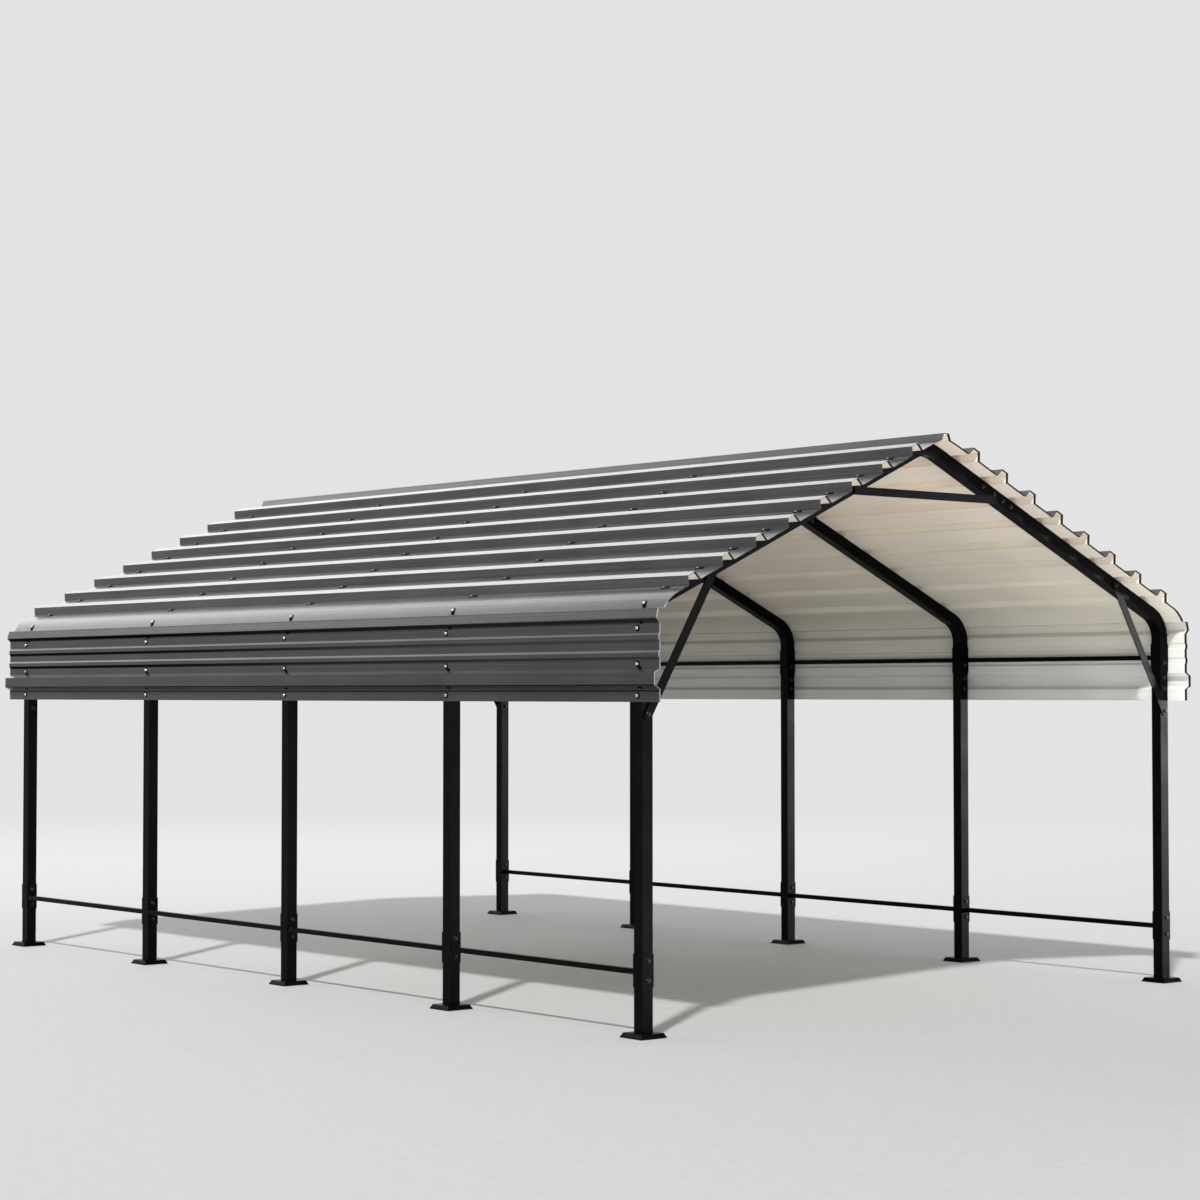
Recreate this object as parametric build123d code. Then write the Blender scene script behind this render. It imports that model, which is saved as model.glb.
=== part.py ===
from build123d import *
import os
from math import cos, radians, sin, tan

# An open carport: five bent steel bows on base plates, tied by rails along
# both walls, under a ribbed sheet roof that turns down over the eaves.
# Millimetres. X is across, Y is along from front (-Y) to back, Z is up, and
# the origin is on the ground in the middle of the roof's outline.

# Layout
bow_count = 5
bay = 1438.0  # from one bow to the next
span = 3660.0  # between post centre lines
roof_pitch = 24.6  # degrees
eave_z = 1947.4  # where the outer faces of post and rafter would meet
front_overhang = 156.0  # of the sheets, past the front bow's centre
back_overhang = 208.0  # of the sheets, past the back bow's centre

# Square tube of the bows
tube = 60.0
tube_wall = 2.0
shoulder_radius = 180.0  # outside of the bend at the eave
ridge_radius = 240.0  # outside of the bend at the peak

# Feet, sleeves and joints
plate = 150.0
plate_thickness = 6.0
anchor_spacing = 110.0
anchor_radius = 6.5
sleeve_wall = 3.0
sleeve_length = 150.0
lower_joint_z = 300.0
upper_joint_drop = 216.4  # below the eave
peak_joint_x = 516.0
splice_length = 280.0

# Rails
rail = 25.0
rail_wall = 1.5
lower_rail_z = 294.0

# Flat bars: knee braces and collar ties
bar_thickness = 6.0
brace_width = 44.0
brace_drop = 289.0  # of its foot, below the upper joint
brace_reach = 407.0  # of its head, inwards from the post's centre line
tie_width = 40.0
tie_drop = 282.6  # below the apex
tie_set_in = 31.0  # of its ends, from the rafters' centre lines

# Ribbed sheet
sheet = 1.2
rib_pitch = 228.6
rib_height = 43.0
rib_top = 45.0
rib_base = 79.0
last_rib_up = 225.2  # up the slope from the corner of roof and wall
first_rib_least = 150.0  # room left between the apex and the first rib
lap_flange = 14.0

# Ridge cap
ridge_rib_rise = 15.5  # of the ridge rib's top, above the apex
ridge_rib_top = 35.0
ridge_rib_base = 63.0
cap_pitch = 21.1  # degrees, of the sheet beside the ridge rib

# Eave panel: heights below the eave, and depths out from its wall
drip_top_drop = 23.4
drip_face_drop = 27.4
drip_nose_drop = 69.4
drip_foot_drop = 91.4
drip_out = 10.0
drip_nose_out = 21.0
minor_rib_drops = (155.4, 233.4)
minor_rib_height = 6.0
minor_rib_top = 18.0
minor_rib_base = 38.0
wall_rib_drop = 341.4
wall_rib_height = 32.0
wall_rib_top = 55.0
wall_rib_base = 88.0
panel_bottom_drop = 445.4

# Worked out from the above
pitch_angle = radians(roof_pitch)
slope_rise = tan(pitch_angle)
half_span = span / 2
post_face = half_span + tube / 2
wall_x = post_face + sleeve_wall  # inside of the eave panel's wall
roof_apex_z = eave_z + post_face * slope_rise  # where the rafters' tops would meet
ridge_centre_z = roof_apex_z - ridge_radius / cos(pitch_angle)  # of the bend at the peak
upper_joint_z = eave_z - upper_joint_drop
tie_z = roof_apex_z - tie_drop
roof_length = front_overhang + bay * (bow_count - 1) + back_overhang
front_y = -roof_length / 2
bow_y = [front_y + front_overhang + bay * k for k in range(bow_count)]
slope_length = wall_x / cos(pitch_angle)
ribs_per_slope = 1 + int((slope_length - last_rib_up - first_rib_least) / rib_pitch)
first_rib = slope_length - last_rib_up - rib_pitch * (ribs_per_slope - 1)
lap_rib = ribs_per_slope // 2  # where the upper sheet laps over the lower one
side_run = (rib_base - rib_top) / 2
side_length = (side_run**2 + rib_height**2) ** 0.5
mitre = rib_height / (side_length + side_run)  # tan of half the side's angle


def on_slope(down, out):
    """Point on the right slope: distance down from the apex and out of the rafters' top."""
    x = down * cos(pitch_angle) + out * sin(pitch_angle)
    z = roof_apex_z - down * sin(pitch_angle) + out * cos(pitch_angle)
    return (x, z)


def rafter_height(x):
    """Height of the rafter's centre line at a distance x from the middle."""
    return roof_apex_z - x * slope_rise - tube / 2 / cos(pitch_angle)


def in_bow_plane(points):
    """Points (x, z) as places in the upright plane across the carport."""
    return [(x, 0, z) for x, z in points]


def square_tube(path, start, along, size, wall):
    """A square tube swept along a path that starts at a point in a direction."""
    section = Plane(origin=start, x_dir=(0, 1, 0), z_dir=along)
    outer = section * Rectangle(size, size)
    inner = section * Rectangle(size - 2 * wall, size - 2 * wall)
    return sweep(outer, path=path) - sweep(inner, path=path)


def upright_tube(x, y, low_z, high_z, size, wall):
    """A vertical square tube between two heights."""
    face = Rectangle(size, size) - Rectangle(size - 2 * wall, size - 2 * wall)
    return Pos(x, y, low_z) * extrude(face, amount=high_z - low_z)


def mirrored(shape):
    """The same piece on the other side of the middle plane."""
    return mirror(shape, about=Plane.YZ)


def foot(x, y):
    """A base plate with its four anchor holes and the stub that the post stands on."""
    base = extrude(Rectangle(plate, plate), amount=plate_thickness)
    holes = GridLocations(anchor_spacing, anchor_spacing, 2, 2) * Cylinder(
        anchor_radius, 4 * plate_thickness
    )
    base -= holes
    stub = upright_tube(0, 0, plate_thickness, lower_joint_z, tube, tube_wall)
    return Pos(x, y, 0) * (base + stub)


def rafter():
    """The right shoulder tube: up from the post, round the eave and up the slope."""
    corner = (half_span, rafter_height(half_span))
    top = (peak_joint_x, rafter_height(peak_joint_x))
    route = FilletPolyline(
        *in_bow_plane([(half_span, upper_joint_z), corner, top]),
        radius=shoulder_radius - tube / 2,
    )
    return square_tube(route, (half_span, 0, upper_joint_z), (0, 0, 1), tube, tube_wall)


def peak():
    """The tube over the middle, bent at the ridge."""
    end_z = rafter_height(peak_joint_x)
    route = FilletPolyline(
        *in_bow_plane([(-peak_joint_x, end_z), (0, rafter_height(0)), (peak_joint_x, end_z)]),
        radius=ridge_radius - tube / 2,
    )
    along = (cos(pitch_angle), 0, sin(pitch_angle))
    return square_tube(route, (-peak_joint_x, 0, end_z), along, tube, tube_wall)


def splice():
    """The tube inside the right joint of rafter and peak."""
    half_x = splice_length / 2 * cos(pitch_angle)
    low = (peak_joint_x + half_x, 0, rafter_height(peak_joint_x + half_x))
    high = (peak_joint_x - half_x, 0, rafter_height(peak_joint_x - half_x))
    along = Vector(*high) - Vector(*low)
    return square_tube(Line(low, high), low, along, tube - 2 * tube_wall, tube_wall)


def flat_bar(outline):
    """A bar from its outline in the plane across the carport, its back on that plane."""
    return extrude(Plane.XZ * outline, amount=bar_thickness)


def knee_brace():
    """The right brace, from post to rafter, with round ends."""
    head_x = half_span - brace_reach
    foot_end = Vector(half_span, upper_joint_z - brace_drop)
    head_end = Vector(head_x, rafter_height(head_x))
    return flat_bar(SlotCenterPoint((foot_end + head_end) / 2, head_end, brace_width))


def collar_tie():
    """The level bar across a bow, near the peak."""
    reach = (roof_apex_z - tube / 2 / cos(pitch_angle) - tie_z) / slope_rise - tie_set_in
    return flat_bar(Pos(0, tie_z) * Rectangle(2 * reach, tie_width))


def rib(centre, lift=0.0):
    """Four points over a roof rib; a lifted one laps the rib of the next sheet down."""
    top = rib_top / 2 + lift * mitre
    up_foot = rib_base / 2 + lift * side_length / rib_height
    down_foot = rib_base / 2 + lift * mitre
    return [
        on_slope(centre - up_foot, 0),
        on_slope(centre - top, rib_height + lift),
        on_slope(centre + top, rib_height + lift),
        on_slope(centre + down_foot, lift),
    ]


def lapping_rib(number):
    """A sheet's last rib and the flange that lies on the next sheet's pan."""
    place = rib_place(number)
    flange_end = place + rib_base / 2 + sheet * mitre + lap_flange
    return [*rib(place, lift=sheet), on_slope(flange_end, sheet)]


def rib_place(number):
    """Distance of a numbered rib down the slope from the apex."""
    return first_rib + rib_pitch * (number - 1)


def sheet_metal(line):
    """A sheet as long as the roof, its inner face on the line."""
    strip = make_face(offset(line, amount=sheet, kind=Kind.INTERSECTION, side=Side.LEFT))
    front = Plane(origin=(0, front_y, 0), x_dir=(1, 0, 0), z_dir=(0, -1, 0))
    return extrude(front * strip, amount=-roof_length)


def roof_sheet(first, last):
    """A right roof sheet from one rib to another, lying over the next sheet below."""
    points = []
    for number in range(first, last):
        points += rib(rib_place(number))
    return sheet_metal(Polyline(*points, *lapping_rib(last)))


def ridge_cap():
    """The sheet over the ridge, resting on the bent peaks and lapping the first ribs."""
    cap_angle = radians(cap_pitch)
    foot_x = ridge_rib_base / 2
    foot_z = ridge_centre_z + (ridge_radius - foot_x * sin(cap_angle)) / cos(cap_angle)
    half_sum = (pitch_angle + cap_angle) / 2
    half_difference = (pitch_angle - cap_angle) / 2
    kink_x = ridge_radius * sin(half_sum) / cos(half_difference)
    right = [
        (ridge_rib_top / 2, roof_apex_z + ridge_rib_rise),
        (foot_x, foot_z),
        (kink_x, roof_apex_z - kink_x * slope_rise),
        *lapping_rib(1),
    ]
    left = [(-x, z) for x, z in reversed(right)]
    return sheet_metal(Polyline(*left, *right))


def on_wall(out, drop):
    """Point on the right wall: out from the panel's inner face and down from the eave."""
    return (wall_x + out, eave_z - drop)


def wall_rib(drop, height, top, base):
    """Four points over a rib in the wall of the eave panel."""
    return [
        on_wall(0, drop - base / 2),
        on_wall(height, drop - top / 2),
        on_wall(height, drop + top / 2),
        on_wall(0, drop + base / 2),
    ]


def eave_panel():
    """The right eave panel: under the last roof rib, round the shoulder and down the wall."""
    corner_z = roof_apex_z - wall_x * slope_rise
    tangent = shoulder_radius * tan(radians(90 - roof_pitch) / 2)
    bend_start = (wall_x - tangent * cos(pitch_angle), corner_z + tangent * sin(pitch_angle))
    above_centre = eave_z - drip_top_drop - (corner_z - tangent)
    bend_end_x = wall_x - shoulder_radius + (shoulder_radius**2 - above_centre**2) ** 0.5
    bend_end = (bend_end_x, eave_z - drip_top_drop)
    wall = [
        bend_end,
        on_wall(drip_out, drip_face_drop),
        on_wall(drip_nose_out, drip_nose_drop),
        on_wall(0, drip_foot_drop),
    ]
    for drop in minor_rib_drops:
        wall += wall_rib(drop, minor_rib_height, minor_rib_top, minor_rib_base)
    wall += wall_rib(wall_rib_drop, wall_rib_height, wall_rib_top, wall_rib_base)
    wall.append(on_wall(0, panel_bottom_drop))
    slope = Polyline(*rib(rib_place(ribs_per_slope)), bend_start)
    bend = TangentArc(bend_start, bend_end, tangent=(cos(pitch_angle), -sin(pitch_angle)))
    return sheet_metal(Wire([*slope.edges(), *bend.edges(), *Polyline(*wall).edges()]))


def write(name, shape):
    """One STEP file for a named piece."""
    export_step(shape, f"parts/{name}.step")


def gather(shapes):
    """Like solids that share one file."""
    solids = []
    for shape in shapes:
        solids += shape.solids()
    return Compound(solids)


def write_bows():
    """Posts, bent tubes and peaks, bow by bow from the front."""
    right_rafter = rafter()
    top_tube = peak()
    for number, y in enumerate(bow_y, start=1):
        for side, x in (("left", -half_span), ("right", half_span)):
            post = upright_tube(x, y, lower_joint_z, upper_joint_z, tube, tube_wall)
            write(f"{side}_post_{number}", post)
        write(f"right_rafter_{number}", Pos(0, y, 0) * right_rafter)
        write(f"left_rafter_{number}", Pos(0, y, 0) * mirrored(right_rafter))
        write(f"peak_tube_{number}", Pos(0, y, 0) * top_tube)


def write_joints():
    """Feet, sleeves and the tubes inside the peak joints."""
    right_splice = splice()
    outer = tube + 2 * sleeve_wall
    for side, x in (("left", -half_span), ("right", half_span)):
        write(f"{side}_feet", gather([foot(x, y) for y in bow_y]))
        for level, z in (("lower", lower_joint_z), ("upper", upper_joint_z)):
            low = z - sleeve_length / 2
            high = z + sleeve_length / 2
            sleeves = [upright_tube(x, y, low, high, outer, sleeve_wall) for y in bow_y]
            write(f"{side}_{level}_sleeves", gather(sleeves))
    both = [right_splice, mirrored(right_splice)]
    write("peak_splices", gather([Pos(0, y, 0) * piece for y in bow_y for piece in both]))


def write_rails():
    """The rails of each wall, from sleeve to sleeve, flush with the posts' outer faces."""
    clear = tube / 2 + sleeve_wall
    inside = rail - 2 * rail_wall
    for side, sign in (("left", -1), ("right", 1)):
        for level, z in (("lower", lower_rail_z), ("upper", upper_joint_z)):
            rails = []
            for y in bow_y[:-1]:
                start = (sign * (post_face - rail / 2), y + clear, z)
                section = Plane(origin=start, z_dir=(0, 1, 0))
                face = Rectangle(rail, rail) - Rectangle(inside, inside)
                rails.append(extrude(section * face, amount=bay - 2 * clear))
            write(f"{side}_{level}_rails", gather(rails))


def write_bracing():
    """Knee braces and collar ties, on the outer faces of the end bows."""
    brace = knee_brace()
    tie = collar_tie()
    front_face = bow_y[0] - tube / 2
    back_face = bow_y[-1] + tube / 2 + bar_thickness
    for end, y in (("front", front_face), ("back", back_face)):
        write(f"{end}_left_brace", Pos(0, y, 0) * mirrored(brace))
        write(f"{end}_right_brace", Pos(0, y, 0) * brace)
        write(f"{end}_collar_tie", Pos(0, y, 0) * tie)


def write_sheets():
    """Roof sheets, ridge cap and eave panels."""
    sheets = {
        "upper_roof_sheet": roof_sheet(1, lap_rib),
        "lower_roof_sheet": roof_sheet(lap_rib, ribs_per_slope),
        "eave_panel": eave_panel(),
    }
    for name, right_sheet in sheets.items():
        write(f"right_{name}", right_sheet)
        write(f"left_{name}", mirrored(right_sheet))
    write("ridge_cap", ridge_cap())


os.makedirs("parts", exist_ok=True)
write_joints()
write_bows()
write_rails()
write_bracing()
write_sheets()
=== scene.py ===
# %% [markdown]
# # An open steel carport
# The imported model already holds every tube, plate and sheet at its real size.
# This lesson dresses it: it finds a camera that sees it as the photograph does,
# gives the steel its finishes, adds the screws and bolts that hold it together,
# and lights it. The first cell loads the model and defines how a part's box is
# read.

# %% Load the frame
import math

import bpy
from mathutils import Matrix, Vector


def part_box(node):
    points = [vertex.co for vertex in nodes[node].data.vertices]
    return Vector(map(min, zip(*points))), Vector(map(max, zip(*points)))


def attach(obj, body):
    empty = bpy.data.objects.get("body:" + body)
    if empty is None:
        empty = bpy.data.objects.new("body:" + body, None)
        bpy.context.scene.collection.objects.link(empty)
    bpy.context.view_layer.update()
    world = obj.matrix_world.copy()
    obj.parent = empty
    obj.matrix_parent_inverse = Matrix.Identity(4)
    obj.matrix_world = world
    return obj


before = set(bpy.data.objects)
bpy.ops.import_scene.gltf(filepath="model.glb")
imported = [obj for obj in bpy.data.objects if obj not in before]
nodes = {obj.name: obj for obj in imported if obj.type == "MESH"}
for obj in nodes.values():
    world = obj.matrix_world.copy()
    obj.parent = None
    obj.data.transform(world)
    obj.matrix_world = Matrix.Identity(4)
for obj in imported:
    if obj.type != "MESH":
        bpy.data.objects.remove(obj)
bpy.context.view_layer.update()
scene = bpy.context.scene

# %% [markdown]
# ## The bows as a ruler
# Screws and bolts repeat at every bow, so the places of the bows are read first,
# from the boxes of the posts. The roof's height and the wall's place come from
# the boxes of the cap and the panels in the same way. What a box can't tell,
# such as the angle of the slope, is given as a value. Everything added later is
# placed from these few numbers, so nothing has to be measured twice.

# %% Read the bows and the roof
post_boxes = [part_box(name) for name in sorted(nodes) if name.startswith("right_post_")]
bow_y = [(low.y + high.y) / 2 for low, high in post_boxes]
half_tube = (post_boxes[0][1].x - post_boxes[0][0].x) / 2
post_x = post_boxes[0][1].x - half_tube
sleeve_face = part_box("right_upper_sleeves")[1].x - post_x
bar_thickness = bow_y[0] - half_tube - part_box("front_collar_tie")[0].y

sheet_thickness = 0.0012
wall_rib_height = 0.032
ridge_rib_rise = 0.0155
slope_angle = math.radians(24.6)
slope_rise = math.tan(slope_angle)

panel_low, panel_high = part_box("right_eave_panel")
wall_x = panel_high.x - wall_rib_height
apex_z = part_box("ridge_cap")[1].z - ridge_rib_rise - sheet_thickness
print("bows at", [round(y, 3) for y in bow_y], "wall", round(wall_x, 4), "apex", round(apex_z, 4))

# %% [markdown]
# ## The camera
# The photograph was taken with a long lens at about eye level, off the front
# left corner. A camera placed by eye would never quite fit. So the lens, the
# place and the turn were worked out from the upright edges of the posts, the
# corners of the base plates and the rib ends, and straight lines of the model
# fall on those of the photograph. It looks up by two degrees, which is why the
# posts lean very slightly.

# %% Camera
lens_mm = 80.81
sensor_mm = 36.0
camera_x = -9.748
camera_from_front_bow = 9.180
camera_height = 1.544
turn_right = math.radians(39.86)
look_up = math.radians(1.97)

camera = bpy.data.objects.new("camera", bpy.data.cameras.new("camera"))
camera.data.lens = lens_mm
camera.data.sensor_width = sensor_mm
camera.location = (camera_x, bow_y[0] - camera_from_front_bow, camera_height)
camera.rotation_euler = (math.radians(90) + look_up, 0.0, -turn_right)
scene.collection.objects.link(camera)
scene.camera = camera
print("camera at", [round(v, 3) for v in camera.location])

# %% [markdown]
# ## Helpers for nodes
# Every finish here is a small tree of nodes on Object coordinates, which are
# metres in the model's own frame, so a pattern keeps its real size. Written out
# in full each node takes several lines. The first helper adds a node and fills
# its inputs, given either as values or as links. The second does it for a sum.

# %% Node helpers


def add(tree, kind, **inputs):
    """A node with inputs given by name, or by number as in0, as values or as links."""
    node = tree.nodes.new(kind)
    for name, value in inputs.items():
        key = int(name[2:]) if name.startswith("in") and name[2:].isdigit() else name.replace("_", " ")
        socket = node.inputs[key]
        if isinstance(value, bpy.types.NodeSocket):
            tree.links.new(value, socket)
        else:
            socket.default_value = value
    return node


def math_node(tree, operation, *values):
    """One Math node's result."""
    node = add(tree, "ShaderNodeMath", **{f"in{i}": v for i, v in enumerate(values)})
    node.operation = operation
    return node.outputs[0]


print("made the node helpers", add.__name__, math_node.__name__)

# %% [markdown]
# ## Helpers for materials
# Most finishes use the same few steps: a noise, a change of range, a blend of
# two colours, and a bump. Each is a helper here, so that a finish reads as a
# list of what happens to the surface. Nearly all of a noise lies between 0.3
# and 0.7, so that span is stretched to the range that is wanted.

# %% Material helpers
noise_span = (0.3, 0.7)
mix_colour_inputs = (6, 7)
mix_colour_output = 2


def start_material(name):
    """A new material, its tree, its shader and its Object coordinates."""
    material = bpy.data.materials.new(name)
    material.use_nodes = True
    tree = material.node_tree
    shader = tree.nodes["Principled BSDF"]
    place = tree.nodes.new("ShaderNodeTexCoord").outputs["Object"]
    return material, tree, shader, place


def noise(tree, place, scale, detail=4.0, roughness=0.5):
    """A noise texture's value, in bumps per metre."""
    node = add(tree, "ShaderNodeTexNoise", Vector=place, Scale=scale, Detail=detail, Roughness=roughness)
    return node.outputs["Fac"]


def map_range(tree, value, low, high, to_low, to_high):
    """The value moved from one range to another, and held inside the new one."""
    node = add(tree, "ShaderNodeMapRange", in0=value, in1=low, in2=high, in3=to_low, in4=to_high)
    return node.outputs[0]


def blend(tree, factor, first, second):
    """A colour between two colours, each a link or an RGB triple."""
    node = tree.nodes.new("ShaderNodeMix")
    node.data_type = "RGBA"
    tree.links.new(factor, node.inputs[0])
    for index, colour in zip(mix_colour_inputs, (first, second)):
        if isinstance(colour, bpy.types.NodeSocket):
            tree.links.new(colour, node.inputs[index])
        else:
            node.inputs[index].default_value = (*colour, 1)
    return node.outputs[mix_colour_output]


def bump(tree, shader, height, distance, strength):
    """Relief from a height value, in metres."""
    node = add(tree, "ShaderNodeBump", Height=height, Distance=distance, Strength=strength)
    tree.links.new(node.outputs["Normal"], shader.inputs["Normal"])


print("a noise is read from", noise_span[0], "to", noise_span[1])

# %% [markdown]
# ## Black powder coat
# The tubes are sprayed with powder and baked, which leaves a matt black skin
# with a faint orange-peel relief. Two noises do it: a fine one as bump, and a
# broad one that moves the colour and the roughness a little, so long faces are
# not dead flat. The reflection is kept low, because the real tubes stay almost
# black even where they face the sky.

# %% Powder coat
coat_dark = (0.0005, 0.0005, 0.0006)
coat_light = (0.0014, 0.0014, 0.0016)
coat_roughness = (0.28, 0.34)
coat_shine = 0.035
cloud_scale = 6.0
cloud_span = (0.35, 0.7)
peel_scale = 420.0
peel_depth = 0.0004
peel_strength = 0.25


def powder_coat():
    material, tree, shader, place = start_material("black_powder_coat")
    broad = noise(tree, place, cloud_scale)
    fine = noise(tree, place, peel_scale, detail=2.0)
    cloud = map_range(tree, broad, *cloud_span, 0.0, 1.0)
    tree.links.new(blend(tree, cloud, coat_dark, coat_light), shader.inputs["Base Color"])
    tree.links.new(map_range(tree, broad, *noise_span, *coat_roughness), shader.inputs["Roughness"])
    shader.inputs["Specular IOR Level"].default_value = coat_shine
    bump(tree, shader, fine, peel_depth, peel_strength)
    return material


powder = powder_coat()
print("made", powder.name)

# %% [markdown]
# ## Which side of a sheet
# The sheets are painted charcoal outside and off-white inside. Both sides are
# one closed mesh. Its faces could be sorted into two materials, but a packed
# mesh is left as it came, so the shader chooses by which way a face looks. The
# face's own direction, mirrored on the left, is compared with the outward
# direction of the slope or, below the shoulder's top, of the wall. The wall's
# leans up a little, so that the round shoulder is told right as well.

# %% Outside or inside
shoulder_height = 2.0
wall_direction = (0.958, 0.287)
slope_direction = (math.sin(slope_angle), math.cos(slope_angle))


def split(tree, vector):
    """The x, y and z of a vector."""
    return add(tree, "ShaderNodeSeparateXYZ", in0=vector).outputs


def facing(tree, place):
    """A face's direction across and up, with the left side mirrored on to the right."""
    nx, _, nz = split(tree, tree.nodes.new("ShaderNodeTexCoord").outputs["Normal"])
    x, _, _ = split(tree, place)
    return math_node(tree, "MULTIPLY", nx, math_node(tree, "SIGN", x)), nz


def above_shoulder(tree, place):
    """One on the roof's slopes, zero on the walls."""
    return math_node(tree, "GREATER_THAN", split(tree, place)[2], shoulder_height)


def outward(tree, place):
    """One where a face looks outwards, zero where it looks in."""
    across, up = facing(tree, place)
    high = above_shoulder(tree, place)
    weights = [map_range(tree, high, 0.0, 1.0, wall, slope)
               for wall, slope in zip(wall_direction, slope_direction)]
    sideways = math_node(tree, "MULTIPLY", across, weights[0])
    upward = math_node(tree, "MULTIPLY", up, weights[1])
    return math_node(tree, "GREATER_THAN", math_node(tree, "ADD", sideways, upward), 0.0)


print("the slope faces", [round(v, 3) for v in slope_direction], "and the wall", wall_direction)

# %% [markdown]
# ## Ribs seen from below
# A rib is a trough when it is seen from inside, and it lies in its own shade.
# In the photograph the underside is nearly even all the same. More light from
# below would wash out the rest, so the paint is made lighter there instead: a
# little for faces deep in a trough, and more for the walls of the ribs that
# look up the slope.

# %% Lighter ribs
trough_depths = (0.0019, 0.0133)
trough_gain = 1.12
uphill_turn = (0.2, 0.7)
uphill_gain = 1.28


def trough_lift(tree, place):
    """One on the flat pans, and trough_gain well inside the roof's ribs."""
    x, _, z = split(tree, place)
    across = math_node(tree, "MULTIPLY", math_node(tree, "ABSOLUTE", x), math.sin(slope_angle))
    out = math_node(tree, "MULTIPLY_ADD", z, math.cos(slope_angle), across)
    pan = apex_z * math.cos(slope_angle)
    shallow, deep = [pan + depth for depth in trough_depths]
    return map_range(tree, out, shallow, deep, 1.0, trough_gain)


def uphill_lift(tree, place):
    """One on the flat pans, and uphill_gain on the roof's faces that look up the slope."""
    across, up = facing(tree, place)
    level = math_node(tree, "MULTIPLY", across, -math.cos(slope_angle))
    uphill = math_node(tree, "MULTIPLY_ADD", up, math.sin(slope_angle), level)
    on_roof = math_node(tree, "MULTIPLY", uphill, above_shoulder(tree, place))
    return map_range(tree, on_roof, *uphill_turn, 1.0, uphill_gain)


print("ribs up to", round(trough_gain * uphill_gain, 2), "times lighter than the pans")

# %% [markdown]
# ## The off-white inside
# The inside is cream near the ridge, duller at the eave and a cooler grey white
# down the wall. Part of this grading is the paint's own colour and part is
# painted light: the ridge is painted brighter and the eave darker. Near the
# front end, on the wall and the foot of the slope, the paint is made whiter
# still, painted light for the light that comes in at the open front. One colour
# would stay too grey at the ridge or too yellow on the wall, so three are
# blended by height.

# %% Inside colour
inside_ridge = (0.58, 0.512, 0.43)
inside_eave = (0.455, 0.427, 0.365)
inside_wall = (0.50, 0.51, 0.492)
eave_to_ridge = (2.0, 2.65)
wall_to_eave = (1.72, 1.98)
# Painted light: near the open front the inside is painted up to this many times whiter.
front_light_gain = 1.35
front_light_depth = 1.7
front_light_up_slope = 0.4
mottle_gain = (0.93, 1.03)


def shaded(tree, colour, factor):
    """A colour multiplied by a number."""
    node = add(tree, "ShaderNodeVectorMath", in0=colour, in3=factor)
    node.operation = "SCALE"
    return node.outputs[0]


def inside_colour(tree, place, mottle):
    """Cream near the ridge, grey white down the wall, and painted light near the front."""
    _, y, z = split(tree, place)
    up_slope = map_range(tree, z, *eave_to_ridge, 0.0, 1.0)
    up_wall = map_range(tree, z, *wall_to_eave, 0.0, 1.0)
    slope = blend(tree, up_slope, inside_eave, inside_ridge)
    colour = blend(tree, up_wall, inside_wall, slope)
    # Painted light: whiter paint near the open front end.
    painted_light_factor = map_range(tree, y, panel_low.y, panel_low.y + front_light_depth, front_light_gain, 1.0)
    colour = shaded(tree, colour, map_range(tree, up_slope, 0.0, front_light_up_slope, painted_light_factor, 1.0))
    ribs = math_node(tree, "MULTIPLY", trough_lift(tree, place), uphill_lift(tree, place))
    shade = map_range(tree, mottle, 0.0, 1.0, *mottle_gain)
    return shaded(tree, colour, math_node(tree, "MULTIPLY", shade, ribs))


print("cream above", eave_to_ridge[1], "m and grey white below", wall_to_eave[0], "m")

# %% [markdown]
# ## Painted shadow lines on the eave panels
# Thin dark lines of painted shadow lie along the underside of the drip, the foot
# of each shallow rib, the lower edge of the box rib and the wall just under it,
# where the drip and the ribs cast their shade. Steps in the sheet would be too
# small to show from here, so the lines are painted. The upper three are black at
# the back and fainter towards the front. Each line has its height above the
# panel's lower edge, half its width, and its strength at the front bow and from
# the fourth bow on. Its middle half is whole, and the rest fades out to both
# sides.

# %% Painted shadow lines
# Painted shadow lines: each has its height, half width, and strength at the front and at the back.
painted_shadow_lines = (
    (0.365, 0.0125, 0.6, 0.97),
    (0.2725, 0.0105, 0.2, 0.97),
    (0.1945, 0.0105, 0.3, 0.97),
    (0.0760, 0.004, 0.85, 0.85),
    (0.0499, 0.004, 0.85, 0.85),
)
whole_share = 0.5
fourth_bow = bow_y[3]


def painted_shadow_factor(tree, place):
    """One on unshaded paint, and less than one in the painted shadow lines."""
    _, y, z = split(tree, place)
    factor = 1.0
    for up, half_width, at_front, at_back in painted_shadow_lines:
        in_line = map_range(tree, y, bow_y[0], fourth_bow, 1.0 - at_front, 1.0 - at_back)
        from_line = math_node(tree, "ABSOLUTE", math_node(tree, "SUBTRACT", z, panel_low.z + up))
        line = map_range(tree, from_line, whole_share * half_width, half_width, in_line, 1.0)
        factor = math_node(tree, "MULTIPLY", line, factor)
    return factor


# Counts the painted shadow lines.
print(len(painted_shadow_lines), "lines of grime, the widest", 2000 * painted_shadow_lines[0][1], "mm")

# %% [markdown]
# ## The charcoal outside
# The charcoal is painted lighter on the roof than on the walls, painted light
# for the sky that the roof faces. Painted shadow lines darken it, and at the
# cut ends of the eave panels a thin pale line is a painted highlight. All of it
# hangs on the height and the distance from the ends, so Object coordinates are
# enough and no texture has to be unwrapped.

# %% Outside colour
charcoal_dark = (0.0168, 0.0168, 0.0173)
charcoal_light = (0.0285, 0.0285, 0.0291)
# Painted light: the roof's charcoal is painted this many times lighter than the walls.
roof_gain = 1.8
roof_from = (shoulder_height, shoulder_height + 0.02)
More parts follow.
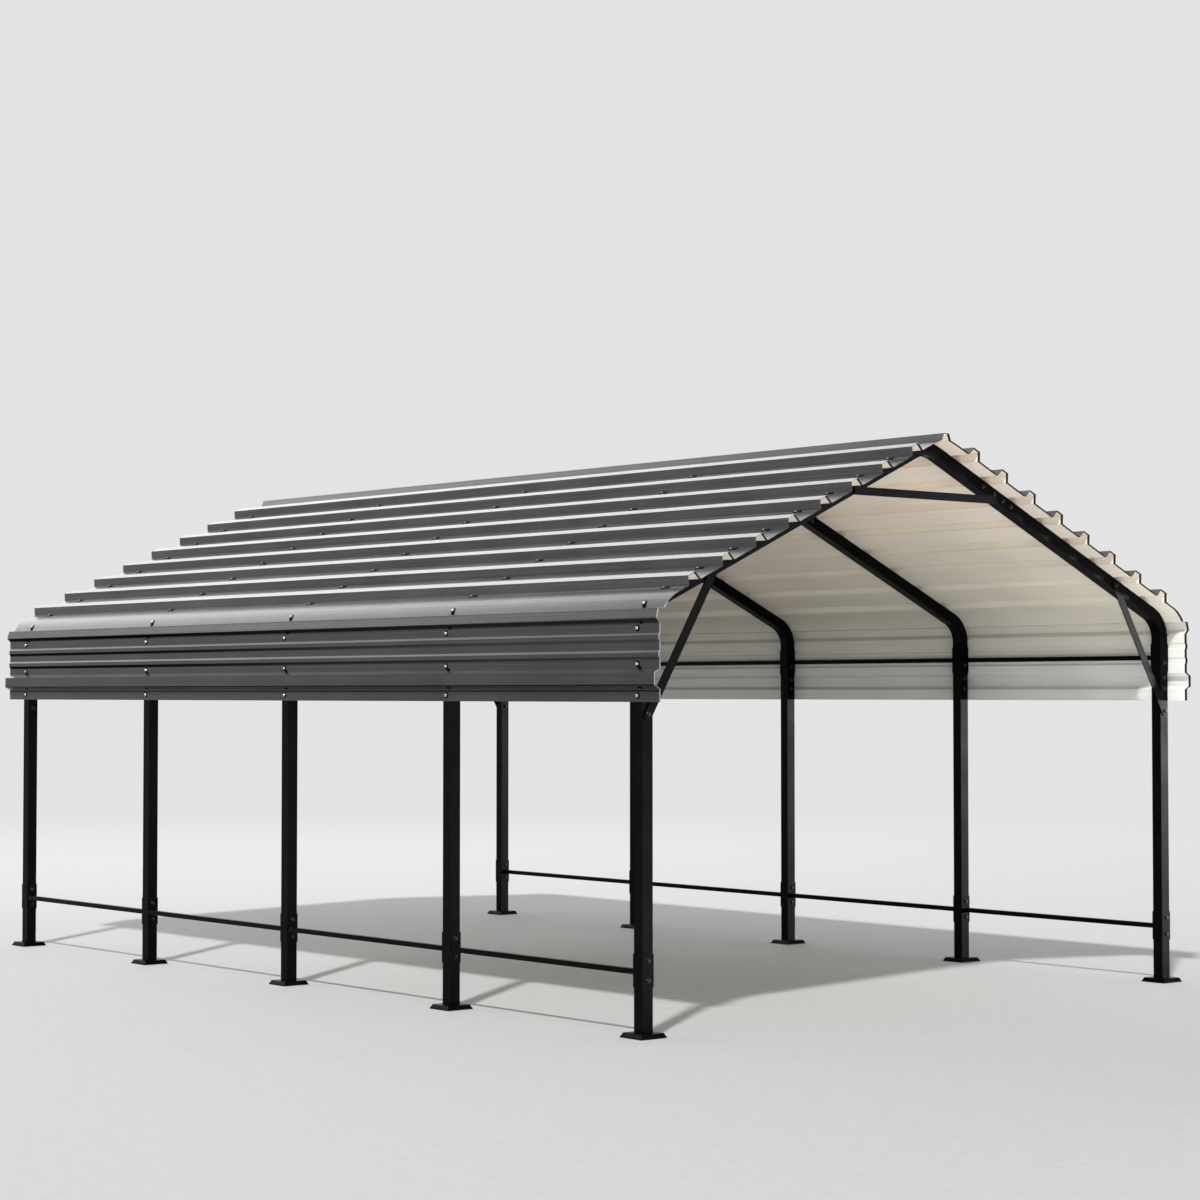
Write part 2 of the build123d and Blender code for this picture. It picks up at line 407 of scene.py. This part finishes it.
# Painted highlight: a thin pale line at the cut ends of the eave panels.
edge_highlight = (0.36, 0.36, 0.355)
edge_highlight_width = 0.005
edge_highlight_below = shoulder_height - 0.05


def near_ends(tree, place, width):
    """One in a narrow band at the front and the back end of a sheet."""
    from_middle = math_node(tree, "ABSOLUTE", split(tree, place)[1])
    return math_node(tree, "GREATER_THAN", from_middle, panel_high.y - width)


def outside_colour(tree, place, mottle, painted_light_factor):
    """Charcoal, painted lighter on the roof, darker in the painted shadow lines, with a painted highlight
    at the cut ends.
    """
    z = split(tree, place)[2]
    # Painted light and painted shadow: lighter on the roof, darker in the shadow lines.
    gain = math_node(tree, "MULTIPLY", painted_light_factor, map_range(tree, z, *roof_from, 1.0, roof_gain))
    charcoal = shaded(tree, blend(tree, mottle, charcoal_dark, charcoal_light), gain)
    # Painted highlight at the cut ends, on the walls only.
    on_wall = math_node(tree, "LESS_THAN", z, edge_highlight_below)
    cut_end = math_node(tree, "MULTIPLY", on_wall, near_ends(tree, place, edge_highlight_width))
    return blend(tree, cut_end, charcoal, edge_highlight)


print("roof", roof_gain, "times lighter than the walls, primer", 1000 * edge_highlight_width, "mm wide")

# %% [markdown]
# ## Two-sided sheet paint
# Now the two sides come together. On the inside a narrow black band follows the
# front and the back edge, which draws the thin outline of the open ends. Rolling
# leaves fine lines along a sheet, so the noise for them is drawn out along Y
# until it is all streaks. The painted shadow lines have no gloss. A rough paint
# would still mirror a little, and show grey, so in those lines the paint is made
# metallic too: a black metal mirrors nothing.

# %% Sheet paint
patch_scale = 2.5
streak_stretch = (75.0, 0.3, 75.0)
mottle_span = (0.78, 1.22)
edge_width = 0.014
edge_black = (0.004, 0.004, 0.004)
inside_roughness = 0.5
outside_roughness = 0.3
paint_shine = 0.35
streak_depth = 0.0018
streak_strength = 0.95


def sheet_paint():
    material, tree, shader, place = start_material("two_sided_sheet_paint")
    patches = noise(tree, place, patch_scale)
    stretched = add(tree, "ShaderNodeMapping", Vector=place, Scale=streak_stretch).outputs[0]
    streaks = noise(tree, stretched, 1.0, detail=5.0, roughness=0.65)
    mottle = map_range(tree, math_node(tree, "ADD", patches, streaks), *mottle_span, 0.0, 1.0)
    # Painted shadow: the factor that darkens the thin shadow lines.
    painted_light_factor = painted_shadow_factor(tree, place)
    outer = outside_colour(tree, place, mottle, painted_light_factor)
    at_edge = near_ends(tree, place, edge_width)
    inner = blend(tree, at_edge, inside_colour(tree, place, mottle), edge_black)
    outside = outward(tree, place)
    tree.links.new(blend(tree, outside, inner, outer), shader.inputs["Base Color"])
    gloss = map_range(tree, outside, 0.0, 1.0, inside_roughness, outside_roughness)
    # Painted shadow: in the dark lines the paint turns rough and metallic, so it mirrors nothing.
    in_painted_shadow = math_node(tree, "MULTIPLY", map_range(tree, painted_light_factor, 0.0, 1.0, 1.0, 0.0), outside)
    tree.links.new(math_node(tree, "MAXIMUM", gloss, in_painted_shadow), shader.inputs["Roughness"])
    tree.links.new(in_painted_shadow, shader.inputs["Metallic"])
    shader.inputs["Specular IOR Level"].default_value = paint_shine
    bump(tree, shader, streaks, streak_depth, streak_strength)
    return material


paint = sheet_paint()
print("made", paint.name)

# %% [markdown]
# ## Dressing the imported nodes
# The nodes keep their meshes and places, and only their materials change: the
# ribbed sheets take the two-sided paint, everything else is powder coated. A
# node's name says which it is, so one loop is enough.

# %% Dress the CAD nodes
for name, obj in nodes.items():
    is_sheet = any(word in name for word in ("sheet", "panel", "cap"))
    obj.data.materials.clear()
    obj.data.materials.append(paint if is_sheet else powder)
print("painted", len(nodes), "nodes")

# %% [markdown]
# ## Zinc
# The screws have caps of zinc: bright on the panels, and on the roof a darker
# copy of the same zinc, which is painted shade. Zinc plate is a metal with fine
# cloudy differences, so one noise moves the colour and the roughness between two
# ends and roughens the skin a little. The bolts need the same in black, so the
# recipe is a helper.

# %% Zinc
fixing_depth = 0.0003
fixing_strength = 0.3
zinc_scale = 260.0
zinc_metal = 0.85
zinc_shine = 0.5


def plated(name, scale, dark, light, roughness, metallic, shine):
    """A plated finish whose colour and roughness follow one fine noise."""
    material, tree, shader, place = start_material(name)
    cloud = noise(tree, place, scale, detail=3.0)
    tint = map_range(tree, cloud, *noise_span, 0.0, 1.0)
    tree.links.new(blend(tree, tint, dark, light), shader.inputs["Base Color"])
    tree.links.new(map_range(tree, cloud, *noise_span, *roughness), shader.inputs["Roughness"])
    shader.inputs["Metallic"].default_value = metallic
    shader.inputs["Specular IOR Level"].default_value = shine
    bump(tree, shader, cloud, fixing_depth, fixing_strength)
    return material


zinc = plated("bright_zinc_plate", zinc_scale, (0.34, 0.345, 0.36), (0.52, 0.52, 0.51),
              roughness=(0.2, 0.34), metallic=zinc_metal, shine=zinc_shine)
# A darker copy of the same zinc for the roof's caps: painted shade.
shaded_zinc = plated("weathered_zinc_plate", zinc_scale, (0.10, 0.10, 0.105), (0.20, 0.20, 0.20),
                   roughness=(0.35, 0.5), metallic=zinc_metal, shine=zinc_shine)
print("made", zinc.name, "and", shaded_zinc.name)

# %% [markdown]
# ## Black rubber
# Under each cap lies a washer of black rubber, and plugs of the same rubber
# close the spare holes. Rubber has no gloss to speak of. Its noise is left soft,
# because on a disc of 30 mm a strong pattern would look like dirt.

# %% Rubber
rubber_dark = (0.0006, 0.0006, 0.0006)
rubber_light = (0.002, 0.002, 0.002)
rubber_scale = 180.0
rubber_roughness = (0.7, 0.9)
rubber_shine = 0.02
rubber_depth = 0.0002
rubber_strength = 0.3


def black_rubber():
    material, tree, shader, place = start_material("black_rubber")
    cloud = noise(tree, place, rubber_scale, detail=2.0)
    tree.links.new(blend(tree, cloud, rubber_dark, rubber_light), shader.inputs["Base Color"])
    tree.links.new(map_range(tree, cloud, *noise_span, *rubber_roughness), shader.inputs["Roughness"])
    shader.inputs["Specular IOR Level"].default_value = rubber_shine
    bump(tree, shader, cloud, rubber_depth, rubber_strength)
    return material


rubber = black_rubber()
print("made", rubber.name)

# %% [markdown]
# ## A tree for each kind of fastener
# There are hundreds of screws, plugs and bolts. Modelled one by one they would
# take days, and plain copies would all sit at the same angle. So each kind is a
# Geometry Nodes tree that takes a cloud of places and puts one shape on each. It
# turns the shape to face out of the surface and spins it by a random angle from
# a fixed seed, as no two heads are ever tightened alike. The sizes are named
# inputs. These helpers make the start and the end that all the trees share.

# %% Start and end of a tree
most_spin = math.radians(60)
spin_highest_input = 3
spin_number_output = 1


def add_input(tree, label, kind, value=None):
    """A named input of a tree."""
    socket = tree.interface.new_socket(label, in_out="INPUT", socket_type=kind)
    if value is not None:
        socket.default_value = value


def start_tree(name, sizes):
    """A new tree with its places, its sizes and its seed as inputs."""
    tree = bpy.data.node_groups.new(name, "GeometryNodeTree")
    add_input(tree, "Places", "NodeSocketGeometry")
    for label, value in sizes.items():
        add_input(tree, label, "NodeSocketFloat", value)
    add_input(tree, "Most spin", "NodeSocketFloat", most_spin)
    add_input(tree, "Seed", "NodeSocketInt", 1)
    tree.interface.new_socket("Geometry", in_out="OUTPUT", socket_type="NodeSocketGeometry")
    return tree, tree.nodes.new("NodeGroupInput").outputs


def finish_tree(tree, given, shape, material):
    """The shape at every place, turned to face outwards and spun, as real geometry."""
    direction = tree.nodes.new("GeometryNodeInputNamedAttribute")
    direction.data_type = "FLOAT_VECTOR"
    direction.inputs["Name"].default_value = "outward"
    aimed = add(tree, "FunctionNodeAlignRotationToVector", Vector=direction.outputs[0])
    aimed.axis = "Z"
    spin = add(tree, "FunctionNodeRandomValue", Seed=given["Seed"])
    spin.data_type = "FLOAT"
    tree.links.new(given["Most spin"], spin.inputs[spin_highest_input])
    turn = add(tree, "FunctionNodeAxisAngleToRotation", Angle=spin.outputs[spin_number_output])
    turned = add(tree, "FunctionNodeRotateRotation", Rotation=aimed.outputs[0], Rotate_By=turn.outputs[0])
    turned.rotation_space = "LOCAL"
    copies = add(tree, "GeometryNodeInstanceOnPoints", Points=given["Places"],
                 Instance=shape, Rotation=turned.outputs[0])
    real = add(tree, "GeometryNodeRealizeInstances", Geometry=copies.outputs[0])
    finished = add(tree, "GeometryNodeSetMaterial", Geometry=real.outputs[0], Material=material)
    result = tree.nodes.new("NodeGroupOutput")
    tree.links.new(finished.outputs[0], result.inputs[0])
    return tree


print("heads are turned by up to", round(math.degrees(most_spin)), "degrees")

# %% [markdown]
# ## Slices and domes
# Caps, washers and plugs are all low domes, and bolts are stacks of discs. Both
# can be built from one thing: a slice of a cone. A dome is a flat bottom and a
# stack of open slices, each narrower than the last, joined edge to edge into
# one skin. Its rings are shares of one radius and one height, so a wide flat
# washer and a small high cap come from the same tree.

# %% Slices and domes
merge_distance = 1e-5
dome_sides = 14
dome_rings = ((0.0, 0.0), (1.0, 0.0), (0.98, 0.4), (0.8, 0.75), (0.45, 0.94), (0.0, 1.0))


def slice_node(tree, sides, low_radius, high_radius, height, lift, fill="NGON"):
    """A slice of a cone with its lower end at a height, closed or only its side."""
    cone = add(tree, "GeometryNodeMeshCone", Vertices=sides, Radius_Bottom=low_radius,
               Radius_Top=high_radius, Depth=height)
    cone.fill_type = fill
    raised = add(tree, "ShaderNodeCombineXYZ", Z=lift)
    moved = add(tree, "GeometryNodeTransform", Geometry=cone.outputs["Mesh"], Translation=raised.outputs[0])
    return moved.outputs[0]


def join(tree, pieces):
    """All pieces as one geometry."""
    joined = tree.nodes.new("GeometryNodeJoinGeometry")
    for piece in pieces:
        tree.links.new(piece, joined.inputs[0])
    return joined.outputs[0]


def one_skin(tree, open_slices):
    """Open slices joined edge to edge into one closed skin."""
    merged = add(tree, "GeometryNodeMergeByDistance", Geometry=join(tree, open_slices),
                 Distance=merge_distance)
    return merged.outputs[0]


def dome_tree(name, material, sizes):
    """A round dome, closed underneath, as one skin."""
    tree, given = start_tree(name, sizes)
    radius, height, lift = given["Radius"], given["Height"], given["Lift"]
    slices = []
    for (low_share, low), (high_share, high) in zip(dome_rings, dome_rings[1:]):
        radii = [math_node(tree, "MULTIPLY", radius, share) for share in (low_share, high_share)]
        slice_height = math_node(tree, "MULTIPLY", height, high - low)
        slice_lift = math_node(tree, "MULTIPLY_ADD", height, low, lift)
        slices.append(slice_node(tree, dome_sides, *radii, slice_height, slice_lift, fill="NONE"))
    return finish_tree(tree, given, one_skin(tree, slices), material)


print("a dome has", dome_sides, "sides and", len(dome_rings) - 2, "rings")

# %% [markdown]
# ## From places to a piece
# A place is a point and the direction that faces out there. The places become a
# small cloud of points, the tree puts its shape on each, and the result is kept
# as a plain mesh that rides with the frame, so later cells can't change it.
# Most places come in pairs, on the left and on the right of every bow.

# %% Copies at places


def place_copies(name, tree, places, slot, **sizes):
    """A plain mesh of the tree's copies at places, each a point and a direction out."""
    cloud = bpy.data.meshes.new(f"{name}_places")
    cloud.from_pydata([point for point, _ in places], [], [])
    directions = cloud.attributes.new("outward", "FLOAT_VECTOR", "POINT")
    for item, (_, direction) in zip(directions.data, places):
        item.vector = direction
    carrier = bpy.data.objects.new(name, cloud)
    scene.collection.objects.link(carrier)
    modifier = carrier.modifiers.new("copies", "NODES")
    modifier.node_group = tree
    identifiers = {item.name: item.identifier for item in tree.interface.items_tree}
    for label, value in sizes.items():
        modifier[identifiers[label.replace("_", " ")]] = value
    depsgraph = bpy.context.evaluated_depsgraph_get()
    mesh = bpy.data.meshes.new_from_object(carrier.evaluated_get(depsgraph))
    carrier.modifiers.clear()
    carrier.data = mesh
    mesh.name = name
    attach(carrier, "root")
    print(name, len(places), "copies,", len(mesh.polygons), "faces")


def both_sides(profile_places, y_values):
    """The right side's places (x, z, direction x, direction z) on both sides at each y."""
    places = []
    for y in y_values:
        for x, z, dx, dz in profile_places:
            for side in (-1, 1):
                places.append(((side * x, y, z), (side * dx, 0.0, dz)))
    return places


print("a row of fixings has", len(both_sides([(wall_x, panel_low.z, 1.0, 0.0)], bow_y)), "places")

# %% [markdown]
# ## Where the screws go
# Each sheet is held at every bow by screws. On the roof one sits in the pan just
# below each rib. On the eave panel there are four: one on the round shoulder and
# three down the wall, on its flat strips. The roof's follow from the pitch of
# the ribs, which is counted up the slope from the eave. The panel's were read
# from the photograph.

# %% Places for screws
rib_pitch = 0.2286
last_rib_up = 0.2252
ribs_per_slope = 8
screw_below_rib = 0.054
shoulder_radius = 0.180 + sheet_thickness
shoulder_centre_up = 0.3284
shoulder_screw_angle = math.radians(40)
wall_screw_heights = (0.332, 0.1705, 0.029)


def on_slope(down, out):
    """A place on the right slope, down from the apex and out of the rafters."""
    x = down * math.cos(slope_angle) + out * math.sin(slope_angle)
    z = apex_z - down * math.sin(slope_angle) + out * math.cos(slope_angle)
    return x, z, *slope_direction


def on_shoulder(angle):
    """A place on the right shoulder, at an angle above level."""
    across, up = math.cos(angle), math.sin(angle)
    x = wall_x - shoulder_radius + shoulder_radius * across
    z = panel_low.z + shoulder_centre_up + shoulder_radius * up
    return x, z, across, up


slope_end = (wall_x - sheet_thickness) / math.cos(slope_angle)
rib_places = [slope_end - last_rib_up - rib_pitch * k for k in range(ribs_per_slope)]
roof_profile = [on_slope(rib + screw_below_rib, sheet_thickness) for rib in rib_places]
panel_profile = [on_shoulder(shoulder_screw_angle)]
panel_profile += [(wall_x, panel_low.z + up, 1.0, 0.0) for up in wall_screw_heights]
print(len(roof_profile), "screws down a slope and", len(panel_profile), "on a panel, at each bow")

# %% [markdown]
# ## Screws in the sheets
# What shows of a screw is a domed zinc cap on a black rubber washer that seals
# the hole. Both are domes of the same tree, with their own sizes: the washer is
# wide and flat, and the cap stands out of it. The washers are one piece for the
# whole carport, while the caps are two, as the roof's caps take the darker zinc
# of painted shade.

# %% Sheet screws
washer_sizes = {"Radius": 0.0152, "Height": 0.0030, "Lift": 0.0}
cap_sizes = {"Radius": 0.0090, "Height": 0.0064, "Lift": 0.0022}
washer_tree = dome_tree("rubber_washer", rubber, washer_sizes)
cap_tree = dome_tree("screw_cap", zinc, cap_sizes)
roof_cap_tree = dome_tree("roof_screw_cap", shaded_zinc, cap_sizes)
roof_screws, panel_screws = both_sides(roof_profile, bow_y), both_sides(panel_profile, bow_y)
place_copies("screw_washers", washer_tree, roof_screws + panel_screws, "frame_black", Seed=3)
place_copies("panel_screw_caps", cap_tree, panel_screws, "zinc_fixings", Seed=3)
# The roof's caps take the darker zinc, painted shade.
place_copies("roof_screw_caps", roof_cap_tree, roof_screws, "zinc_fixings", Seed=5)

# %% [markdown]
# ## Plugs in the spare holes
# Beside each screw the photograph has a small black mark, a little nearer the
# front. They are taken to be spare holes closed with rubber plugs, and those
# are low domes too. On the panel they sit low on the shoulder, under the drip,
# on the flat wall and on the lower side of the box rib. Each row has its place
# on the panel and its shift to the front of the bow.

# %% Hole plugs
roof_plug_shift = 0.032
shoulder_plug_angle = math.radians(34)
drip_foot_up = 0.354
drip_plug_step = 0.003
drip_side_direction = (0.723, -0.69)
wall_plug_up = 0.150
box_rib_edge_up = 0.0765
box_rib_foot_fall = 0.0165
share_out_of_rib = 0.35
rib_side_direction = (0.458, -0.889)

drip_plug = (wall_x + drip_plug_step, panel_low.z + drip_foot_up + drip_plug_step, *drip_side_direction)
rib_plug_x = wall_x + wall_rib_height * share_out_of_rib
rib_plug_z = panel_low.z + box_rib_edge_up - box_rib_foot_fall * (1 - share_out_of_rib)
plug_rows = (
    (on_shoulder(shoulder_plug_angle), 0.012),
    (drip_plug, 0.031),
    ((wall_x, panel_low.z + wall_plug_up, 1.0, 0.0), 0.0175),
    ((rib_plug_x, rib_plug_z, *rib_side_direction), 0.0315),
)
plug_places = both_sides(roof_profile, [y - roof_plug_shift for y in bow_y])
for row, shift in plug_rows:
    plug_places += both_sides([row], [y - shift for y in bow_y])

plug_sizes = {"Radius": 0.0115, "Height": 0.0034, "Lift": 0.0}
plug_tree = dome_tree("hole_plug", rubber, plug_sizes)
place_copies("hole_plugs", plug_tree, plug_places, "frame_black", Seed=13)

# %% [markdown]
# ## Covers over the anchors
# Round the foot of each post a low square cover hides the anchor bolts. It has
# sloping sides and lies on the base plate, a little smaller than the plate. A
# cone with four sides is a square one, so the slices make it too, turned by 45
# degrees. Their radius runs to a corner, which lies 0.71 of the width from the
# middle. The post's opening is an inner wall turned inside out.

# %% Foot covers
square_sides = 4
corner_share = math.sqrt(0.5)
plate_top = 0.006
cover_sizes = {
    "Foot width": 0.147,
    "Top width": 0.130,
    "Height": 0.0165,
    "Crown": 0.0015,
    "Opening": 0.0604,
}


def cover_tree(name, material, sizes):
    """A square cover with sloping sides and a square opening for the post."""
    tree, given = start_tree(name, sizes)
    foot, top, opening = [math_node(tree, "MULTIPLY", given[label], corner_share)
                          for label in ("Foot width", "Top width", "Opening")]
    height, crown = given["Height"], given["Crown"]
    whole_height = math_node(tree, "ADD", height, crown)
    inner_wall = slice_node(tree, square_sides, opening, opening, whole_height, 0.0, fill="NONE")
    slices = [
        slice_node(tree, square_sides, foot, top, height, 0.0, fill="NONE"),
        slice_node(tree, square_sides, top, opening, crown, height, fill="NONE"),
        slice_node(tree, square_sides, opening, foot, 0.0, 0.0, fill="NONE"),
        add(tree, "GeometryNodeFlipFaces", Mesh=inner_wall).outputs[0],
    ]
    square = add(tree, "GeometryNodeTransform", Geometry=one_skin(tree, slices),
                 Rotation=(0.0, 0.0, math.radians(45)))
    return finish_tree(tree, given, square.outputs[0], material)


cover = cover_tree("foot_cover", powder, cover_sizes)
feet = [((side * post_x, y, plate_top), (0.0, 0.0, 1.0)) for y in bow_y for side in (-1, 1)]
place_copies("foot_covers", cover, feet, "frame_black", Seed=1, Most_spin=0.0)

# %% [markdown]
# ## Bolts and nuts
# A bolt's head or a nut is a washer, a six-sided body and a low tapered top. A
# nut has the bolt's end on it as well. They are loose parts, so their slices
# stay closed and separate, stacked one on the other. Bolts come black, a little
# glossier than the powder coat round them, which is how they show at all.

# %% Bolts and nuts
oxide_scale = 300.0
oxide_shine = 0.22
washer_sides, hexagon, top_sides, end_sides = 20, 6, 12, 10
washer_taper = 0.86
top_taper = (0.9, 0.62)
oxide = plated("black_oxide_bolts", oxide_scale, (0.003, 0.003, 0.003), (0.008, 0.008, 0.0075),
               roughness=(0.28, 0.4), metallic=0.0, shine=oxide_shine)


def fastener_tree(name, material, sizes, with_end=False):
    """Washer, six-sided head and tapered top, on every place; a nut has a bolt's end too."""
    tree, given = start_tree(name, sizes)
    washer_radius, washer_height = given["Washer radius"], given["Washer thickness"]
    head_radius, head_height, top_height = given["Head radius"], given["Head height"], given["Top height"]
    washer_top = math_node(tree, "MULTIPLY", washer_radius, washer_taper)
    top_radii = [math_node(tree, "MULTIPLY", head_radius, share) for share in top_taper]
    above_washer = math_node(tree, "ADD", washer_height, head_height)
    slices = [
        slice_node(tree, washer_sides, washer_radius, washer_top, washer_height, 0.0),
        slice_node(tree, hexagon, head_radius, head_radius, head_height, washer_height),
        slice_node(tree, top_sides, *top_radii, top_height, above_washer),
    ]
    if with_end:
        end_radius, end_height = given["End radius"], given["End length"]
        end_lift = math_node(tree, "ADD", above_washer, top_height)
        slices.append(slice_node(tree, end_sides, end_radius, end_radius, end_height, end_lift))
    return finish_tree(tree, given, join(tree, slices), material)


bolt_sizes = {
    "Washer radius": 0.0118,
    "Washer thickness": 0.002,
    "Head radius": 0.0098,
    "Head height": 0.0062,
    "Top height": 0.0022,
}
nut_sizes = {**bolt_sizes, "Head height": 0.0075, "Top height": 0.0012}
nut_sizes.update({"End radius": 0.005, "End length": 0.006})
bolt_tree = fastener_tree("frame_bolt_head", oxide, bolt_sizes)
nut_tree = fastener_tree("frame_nut", oxide, nut_sizes, with_end=True)
print("made", oxide.name, "and the trees", bolt_tree.name, nut_tree.name)

# %% [markdown]
# ## Bolts through the frame
# Where tube meets tube a bolt goes through from the front: two at each lower
# sleeve, three up the top of each post, four at each peak joint. Its head is on
# the front face and its nut, with the bolt's end, on the back. The knee braces
# have one bolt at each end, through the bar. The places are a short profile of
# one bow, repeated at every bow and mirrored, as the bows are all the same.

# %% Frame bolts
lower_sleeve_bolts = (0.256, 0.344)
upper_sleeve_bolts = (1.7046,)
post_bolts = (1.568, 1.625)
peak_bolts = (0.403, 0.483, 0.550, 0.610)
brace_foot_bolt = (post_x, 1.448)
brace_head_bolt_x = 1.432
forward, backward = (0.0, -1.0, 0.0), (0.0, 1.0, 0.0)


def rafter_height(x):
    """Height of a rafter's centre line at a distance from the middle."""
    return apex_z - x * slope_rise - half_tube / math.cos(slope_angle)


bolt_profile = [(post_x, z, sleeve_face) for z in (*lower_sleeve_bolts, *upper_sleeve_bolts)]
bolt_profile += [(post_x, z, half_tube) for z in post_bolts]
bolt_profile += [(x, rafter_height(x), half_tube) for x in peak_bolts]
brace_profile = [brace_foot_bolt, (brace_head_bolt_x, rafter_height(brace_head_bolt_x))]
brace_face = half_tube + bar_thickness

heads, nuts = [], []
for y in bow_y:
    for x, z, face in bolt_profile:
        for side in (-1, 1):
            heads.append(((side * x, y - face, z), forward))
            nuts.append(((side * x, y + face, z), backward))
for x, z in brace_profile:
    for side in (-1, 1):
        heads.append(((side * x, bow_y[0] - brace_face, z), forward))
        nuts.append(((side * x, bow_y[0] + half_tube, z), backward))
        heads.append(((side * x, bow_y[-1] + brace_face, z), backward))
        nuts.append(((side * x, bow_y[-1] - half_tube, z), forward))

place_copies("bolt_heads", bolt_tree, heads, "frame_black", Seed=7)
place_copies("bolt_nuts", nut_tree, nuts, "frame_black", Seed=11)

# %% [markdown]
# ## Floor and background
# A wide pale floor takes the carport's shadow. Its far edge would cut the
# picture with a horizon line. So far out the floor turns into a plain glow in
# the colour of the background, and the two can't be told apart.

# %% Floor
background = 0.77
floor_reach = 90.0
floor_dark = (0.40, 0.40, 0.3975)
floor_light = (0.425, 0.425, 0.4217)
floor_roughness = 0.9
grain_scale = 14.0
fade_from, fade_to = 7.0, 20.0

floor_mesh = bpy.data.meshes.new("floor")
corners = [(-floor_reach, -floor_reach, 0), (floor_reach, -floor_reach, 0),
           (floor_reach, floor_reach, 0), (-floor_reach, floor_reach, 0)]
floor_mesh.from_pydata(corners, [], [(0, 1, 2, 3)])
floor = bpy.data.objects.new("floor", floor_mesh)
scene.collection.objects.link(floor)

floor_paint, floor_tree, floor_shader, floor_place = start_material("pale_floor")
floor_noise = noise(floor_tree, floor_place, grain_scale, detail=6.0)
grain = map_range(floor_tree, floor_noise, *noise_span, 0.0, 1.0)
floor_tree.links.new(blend(floor_tree, grain, floor_dark, floor_light), floor_shader.inputs["Base Color"])
floor_shader.inputs["Roughness"].default_value = floor_roughness
distance = add(floor_tree, "ShaderNodeVectorMath", in0=floor_place)
distance.operation = "LENGTH"
fade = add(floor_tree, "ShaderNodeMapRange", in0=distance.outputs["Value"], in1=fade_from, in2=fade_to)
fade.interpolation_type = "SMOOTHSTEP"
glow = add(floor_tree, "ShaderNodeEmission", Color=(background, background, background, 1), Strength=1.0)
mixed = add(floor_tree, "ShaderNodeMixShader", in0=fade.outputs[0], in1=floor_shader.outputs[0],
            in2=glow.outputs[0])
floor_tree.links.new(mixed.outputs[0], floor_tree.nodes["Material Output"].inputs["Surface"])
floor_mesh.materials.append(floor_paint)
print("floor", 2 * floor_reach, "m wide")

# %% [markdown]
# ## Lamps
# Smooth sheets and tubes show what they mirror, so each lamp stands where one
# face looks for it. A wide bright lamp behind the roof is the sky that the
# roof's flat strips and the round shoulder mirror at a low angle. A lamp low on
# the front right is what the front faces of the right-hand posts mirror, and a
# weak one behind the viewer lifts the left-hand posts out of black. A flat lamp
# on the ground before the opening stands for the sunlit ground there, which
# lights the roof from below. Each has its name, its place, the point it is
# aimed at, its width and height, and its power in watts.

# %% Lamps
lamps = (
    ("sky_behind", (2, 22.1, 15.0), (0, -1.4, 3.5), (46, 13.5), 5420),
    ("front_right", (18.0, -14.7, 1.25), (1.8, -2.2, 1.0), (4, 2.5), 1700),
    ("behind_viewer", (-13, -17, 2.2), (0, -2, 1.9), (9, 3), 450),
    ("bright_ground", (1.0, -6.8, 0.02), (1.0, -6.8, 3.0), (7, 6.5), 420),
)


def area_light(name, place, target, size, power):
    """A soft lamp that the camera doesn't see, aimed at a point."""
    data = bpy.data.lights.new(name, "AREA")
    data.shape = "RECTANGLE"
    data.size, data.size_y = size
    data.energy = power
    obj = bpy.data.objects.new(name, data)
    obj.location = place
    obj.rotation_euler = (Vector(target) - Vector(place)).to_track_quat("-Z", "Y").to_euler()
    obj.visible_camera = False
    scene.collection.objects.link(obj)


for lamp in lamps:
    area_light(*lamp)
print("lamps", [lamp[0] for lamp in lamps])

# %% [markdown]
# ## The sun
# The shadows in the photograph say where the sun stands: at half height, on the
# front left. A sun lamp is better here than a strong area lamp, because its
# rays are parallel and the shadows of all the posts run the same way. Its disc
# is a few degrees wide, so the edges of the shadows are a little soft.

# %% Sun
sun_heading = math.radians(54)
sun_height = math.radians(48)
sun_softness = math.radians(3)
sun_strength = 3.6

sun_travel = Vector((math.sin(sun_heading), math.cos(sun_heading), -math.tan(sun_height)))
sun = bpy.data.objects.new("key", bpy.data.lights.new("key", "SUN"))
sun.data.energy = sun_strength
sun.data.angle = sun_softness
sun.rotation_euler = sun_travel.to_track_quat("-Z", "Y").to_euler()
scene.collection.objects.link(sun)
print("sunlight travels along", [round(v, 2) for v in sun_travel])

# %% [markdown]
# ## The surround
# The world does two things. The camera and the reflections see it as bright as
# the background. The soft light that it gives everything else is kept lower, so
# that the sun's shadows stay clear. The Light Path node tells the two apart.

# %% World
surround = 0.50

world = bpy.data.worlds.new("world")
scene.world = world
world.use_nodes = True
world_tree = world.node_tree
seen = world_tree.nodes["Background"]
seen.inputs["Color"].default_value = (background, background, background, 1)
felt = add(world_tree, "ShaderNodeBackground", Color=(surround, surround, surround, 1))
rays = world_tree.nodes.new("ShaderNodeLightPath").outputs
mirrored = math_node(world_tree, "MAXIMUM", rays["Is Glossy Ray"], rays["Is Transmission Ray"])
looks_at = math_node(world_tree, "MAXIMUM", rays["Is Camera Ray"], mirrored)
either = add(world_tree, "ShaderNodeMixShader", in0=looks_at, in1=felt.outputs[0], in2=seen.outputs[0])
world_tree.links.new(either.outputs[0], world_tree.nodes["World Output"].inputs["Surface"])
print("background", background, "soft light", surround)

# %% Finish
scene.view_settings.view_transform = "Standard"
